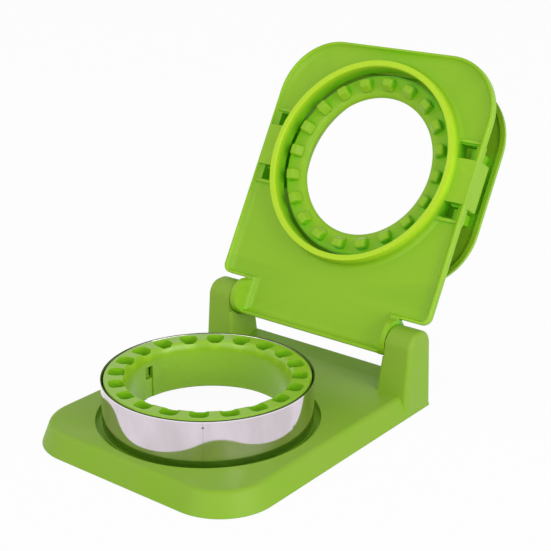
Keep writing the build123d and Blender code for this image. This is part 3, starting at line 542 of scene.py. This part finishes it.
steel_coats = [
    (reflection_cloud_mask, 1.0, STEEL_PAINTED_PALE_REFLECTION),
    (foot_mask, 0.7, STEEL_PAINTED_FOOT_REFLECTION),
    (seam_mask, 0.3, STEEL_DARK),
    (mark_mask, 0.8, STEEL_DARK),
    (highlight_line_mask, 0.7, STEEL_PAINTED_HIGHLIGHT_LINE),
    (edge_mask, 1.0, STEEL_PAINTED_EDGE_SHADE),
]
steel_colour = STEEL_PAINTED_ROOM_TINT
for coat_mask, strength, coat in steel_coats:
    steel_colour = mix_colours(steel_tree, scaled(steel_tree, coat_mask, strength), steel_colour, coat)
print("coats on the steel", len(steel_coats))

# %% [markdown]
# ## The shine and the surface of the steel
# A rolled strip is never a perfect cylinder: long soft waves run up it, and they are what bends
# the border in its reflection. Polishing leaves fine lines that run round it. Both are noise,
# drawn out upright for the waves and packed upright for the lines. The ground edge and the foot
# are duller than the wall, and the seam is a shallow groove. The three heights are counted in
# the depth of the bump.

# %% Shine and surface of the steel
STEEL_ROUGHNESS = (0.06, 0.11)
EDGE_DULLNESS = 0.3
FOOT_DULLNESS = 0.14
LINE_FINENESS, LINE_SQUEEZE, LINE_HEIGHT = 90.0, 60.0, 0.03
WAVE_FINENESS, WAVE_SQUEEZE, WAVE_HEIGHT = 70.0, 0.12, 6.0
SEAM_DEPTH = 0.3
STEEL_BUMP = (0.25, 0.05 * mm)

steel_smears = use_group(steel_tree, smear_group, steel_place, SMEARS_ON_STEEL)
steel_rough = spread(steel_tree, steel_smears, *STEEL_ROUGHNESS)
for dull_mask, dullness in ((edge_mask, EDGE_DULLNESS), (foot_mask, FOOT_DULLNESS)):
    steel_rough = calculate(steel_tree, "ADD", steel_rough, scaled(steel_tree, dull_mask, dullness))
line_place = squeezed(steel_tree, steel_place, LINE_SQUEEZE)
wave_place = squeezed(steel_tree, steel_place, WAVE_SQUEEZE)
lines = noise(steel_tree, line_place, LINE_FINENESS, 3.0)
waves = noise(steel_tree, wave_place, WAVE_FINENESS, 1.0)
steel_height = calculate(
    steel_tree, "ADD",
    scaled(steel_tree, lines, LINE_HEIGHT),
    scaled(steel_tree, waves, WAVE_HEIGHT),
)
steel_height = calculate(steel_tree, "SUBTRACT", steel_height, scaled(steel_tree, seam_mask, SEAM_DEPTH))
feed(steel_tree, steel_shader, {
    "Base Color": steel_colour,
    "Metallic": 1.0,
    "Roughness": steel_rough,
    "Normal": bumped(steel_tree, steel_height, *STEEL_BUMP),
})
dress("cutting_band", steel_band)

# %% [markdown]
# ## Soft feet
# The four feet are pale, rubbery studs pressed into bosses under the tray. They are matt, take
# up dust and get a little darker where they rub on the table, so the finish has the skin of a
# mould, patches of dust all over and a worn layer at the very bottom.

# %% Rubber for the feet
RUBBER = (0.55, 0.58, 0.54, 1)
RUBBER_WORN = (0.33, 0.34, 0.31, 1)
RUBBER_ROUGHNESS = (0.62, 0.85)
RUBBER_BUMP = (0.4, 0.1 * mm)
WORN_HEIGHT = 0.9 * mm
WORN_SHARE = 0.5
DUST_SHARE = 0.3

foot_rubber, foot_tree, foot_shader, foot_place = start_material("foot_rubber")
foot_height = make_node(foot_tree, "ShaderNodeSeparateXYZ", {0: foot_place}).outputs["Z"]
foot_worn = scaled(foot_tree, step_between(foot_tree, foot_height, WORN_HEIGHT, 0.0), WORN_SHARE)
foot_dust = use_group(foot_tree, smear_group, foot_place, SMEARS_ON_RUBBER)
foot_dull = calculate(foot_tree, "ADD", foot_worn, scaled(foot_tree, foot_dust, DUST_SHARE), clamp=True)
foot_skin = use_group(foot_tree, skin_group, foot_place, SKIN_ON_RUBBER)
feed(foot_tree, foot_shader, {
    "Base Color": mix_colours(foot_tree, foot_dull, RUBBER, RUBBER_WORN),
    "Roughness": spread(foot_tree, foot_dull, *RUBBER_ROUGHNESS),
    "Normal": bumped(foot_tree, foot_skin, *RUBBER_BUMP),
})
feet = sorted(name for name in nodes if name.startswith("foot_"))
for foot_name in feet:
    dress(foot_name, foot_rubber)
print("feet", feet)

# %% [markdown]
# ## Wound springs
# Four springs push the press plate back. Each stands in a well of the lid and is held on a pin
# of the plate. A real compression spring has a closed turn at each end, so that it stands
# square, and open turns between them. A circle that is spun while it climbs makes exactly that,
# with a small climb for the end turns and a larger one between.

# %% A wound compression spring
WIRE_RADIUS = 0.3 * mm
COIL_RADIUS = 1.45 * mm
OPEN_TURNS = 6
STEPS_PER_TURN = 28
WIRE_SIDES = 12


def wound_spring(name, length):
    """A mesh spring that stands on the origin along Z, with a closed turn at each end."""
    wire = bmesh.new()
    start = Matrix.Translation((COIL_RADIUS, 0, WIRE_RADIUS)) @ Matrix.Rotation(radians(90), 4, "X")
    bmesh.ops.create_circle(wire, segments=WIRE_SIDES, radius=WIRE_RADIUS, matrix=start)
    loop = list(wire.edges)
    bmesh.ops.contextual_create(wire, geom=loop)
    closed_climb = 2 * WIRE_RADIUS
    open_climb = (length - 2 * WIRE_RADIUS - 2 * closed_climb) / OPEN_TURNS
    for turns, climb in ((1, closed_climb), (OPEN_TURNS, open_climb), (1, closed_climb)):
        spun = bmesh.ops.spin(
            wire, geom=loop, cent=(0, 0, 0), axis=(0, 0, 1), dvec=(0, 0, climb / STEPS_PER_TURN),
            angle=2 * pi * turns, steps=turns * STEPS_PER_TURN, use_duplicate=False,
        )
        loop = [part for part in spun["geom_last"] if isinstance(part, bmesh.types.BMEdge)]
    bmesh.ops.contextual_create(wire, geom=loop)
    bmesh.ops.recalc_face_normals(wire, faces=wire.faces)
    mesh = bpy.data.meshes.new(name)
    wire.to_mesh(mesh)
    wire.free()
    mesh.shade_smooth()
    return mesh


# %% [markdown]
# ## Bright spring wire
# Spring wire is drawn, not polished. It is a little rougher than the band, and greyer where the
# oil from winding has dried on it. The shared smears do for both, at a scale that suits a wire
# of 0.6 mm.

# %% Bright spring wire
WIRE = (0.56, 0.56, 0.57, 1)
WIRE_OILY = (0.40, 0.39, 0.38, 1)
WIRE_ROUGHNESS = (0.22, 0.38)

spring_wire, wire_tree, wire_shader, wire_place = start_material("spring_wire")
wire_smears = use_group(wire_tree, smear_group, wire_place, SMEARS_ON_WIRE)
feed(wire_tree, wire_shader, {
    "Base Color": mix_colours(wire_tree, wire_smears, WIRE, WIRE_OILY),
    "Metallic": 1.0,
    "Roughness": spread(wire_tree, wire_smears, *WIRE_ROUGHNESS),
})

# %% [markdown]
# ## Springs in their wells
# Each wound spring takes the place and the length of the plain coil that it replaces, which are
# read from the coil's own points along the way that the plate slides. It rides on the lid, and
# its end in the well stays put.

# %% Stand the springs in their wells
upright = Matrix((across, underside_way.cross(across), underside_way)).transposed().to_4x4()
for spring_node in sorted(name for name in nodes if name.startswith("press_spring_")):
    low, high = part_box(spring_node)
    middle = (low + high) / 2
    along = [vertex.co.dot(underside_way) for vertex in nodes[spring_node].data.vertices]
    spring_length = max(along) - min(along)
    foot_point = middle + underside_way * (min(along) - middle.dot(underside_way))
    mesh = wound_spring(spring_node + "_coil", spring_length)
    mesh.transform(Matrix.Translation(foot_point) @ upright)
    mesh.materials.append(spring_wire)
    coil = bpy.data.objects.new(spring_node + "_coil", mesh)
    bpy.context.scene.collection.objects.link(coil)
    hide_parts(spring_node)
    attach(coil, "lid")
    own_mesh(coil)

# %% [markdown]
# ## The studio
# The photograph was taken in plain soft light on white, and hardly a shadow shows. The floor
# and the world are white where the camera or a reflection looks at them. For all other light
# the floor is an ordinary pale surface, so that it still takes a faint shadow and throws soft
# light up at the product.

# %% What the camera and reflections see
def seen_directly(tree):
    """A mask that is 1 for camera, mirror and glass rays."""
    path = make_node(tree, "ShaderNodeLightPath", {}).outputs
    seen = calculate(tree, "MAXIMUM", path["Is Camera Ray"], path["Is Glossy Ray"])
    return calculate(tree, "MAXIMUM", seen, path["Is Transmission Ray"])


# %% White floor that keeps a faint shadow
WHITE = (1, 1, 1, 1)
FLOOR_PALE = (0.78, 0.78, 0.78, 1)
FLOOR_WHITE_SHARE = 0.96
FLOOR_HALF_WIDTH = 3.0

floor_mesh = bpy.data.meshes.new("studio_floor")
floor_shape = bmesh.new()
bmesh.ops.create_grid(floor_shape, x_segments=4, y_segments=4, size=FLOOR_HALF_WIDTH)
floor_shape.to_mesh(floor_mesh)
floor_shape.free()
floor = bpy.data.objects.new("studio_floor", floor_mesh)
bpy.context.scene.collection.objects.link(floor)

floor_material = bpy.data.materials.new("studio_floor")
floor_material.use_nodes = True
floor_tree = floor_material.node_tree
floor_tree.nodes.clear()
floor_matt = make_node(floor_tree, "ShaderNodeBsdfDiffuse", {"Color": FLOOR_PALE})
floor_white = make_node(floor_tree, "ShaderNodeEmission", {"Color": WHITE, "Strength": 1.0})
floor_share = scaled(floor_tree, seen_directly(floor_tree), FLOOR_WHITE_SHARE)
floor_sides = {0: floor_share, 1: floor_matt.outputs[0], 2: floor_white.outputs[0]}
floor_mix = make_node(floor_tree, "ShaderNodeMixShader", floor_sides)
make_node(floor_tree, "ShaderNodeOutputMaterial", {"Surface": floor_mix.outputs[0]})
floor_mesh.materials.append(floor_material)

# %% Soft even light from all round
WORLD_SOFT = (0.98, 0.99, 1.0, 1)
WORLD_STRENGTH = 0.52

world = bpy.data.worlds.new("studio_world")
bpy.context.scene.world = world
world.use_nodes = True
world_tree = world.node_tree
world_tree.nodes.clear()
world_soft = make_node(
    world_tree, "ShaderNodeBackground", {"Color": WORLD_SOFT, "Strength": WORLD_STRENGTH}
)
world_white = make_node(world_tree, "ShaderNodeBackground", {"Color": WHITE, "Strength": 1.0})
world_sides = {0: seen_directly(world_tree), 1: world_soft.outputs[0], 2: world_white.outputs[0]}
world_mix = make_node(world_tree, "ShaderNodeMixShader", world_sides)
make_node(world_tree, "ShaderNodeOutputWorld", {"Surface": world_mix.outputs[0]})

# %% [markdown]
# ## Three lamps
# Light from all round alone makes plastic look flat. Three large round lamps, one at the right,
# one in front and a weak one at the left, give each side of the product its own brightness and
# draw soft highlights along its edges. They are wide and near, so their shadows stay soft. The
# view transform is Standard, so that a colour renders about as it is written.

# %% Three large soft lamps
LAMP_TARGET = Vector((0, 0, 50 * mm))
LAMP_WIDTH = 0.9


def soft_lamp(name, place, power):
    """A round area lamp at place, in metres, that shines at the product with power in watts."""
    lamp_data = bpy.data.lights.new(name, "AREA")
    lamp_data.shape = "DISK"
    lamp_data.size = LAMP_WIDTH
    lamp_data.energy = power
    lamp = bpy.data.objects.new(name, lamp_data)
    bpy.context.scene.collection.objects.link(lamp)
    aim = (Vector(place) - LAMP_TARGET).to_track_quat("Z", "Y").to_matrix().to_4x4()
    lamp.matrix_world = Matrix.Translation(place) @ aim


soft_lamp("key_lamp", (1.0, -0.15, 0.35), 7.0)
soft_lamp("front_lamp", (0.05, -1.1, 0.55), 4.5)
soft_lamp("left_lamp", (-0.9, -0.35, 0.6), 1.0)
bpy.context.scene.view_settings.view_transform = "Standard"
print("lamps", [light.name for light in bpy.data.lights])
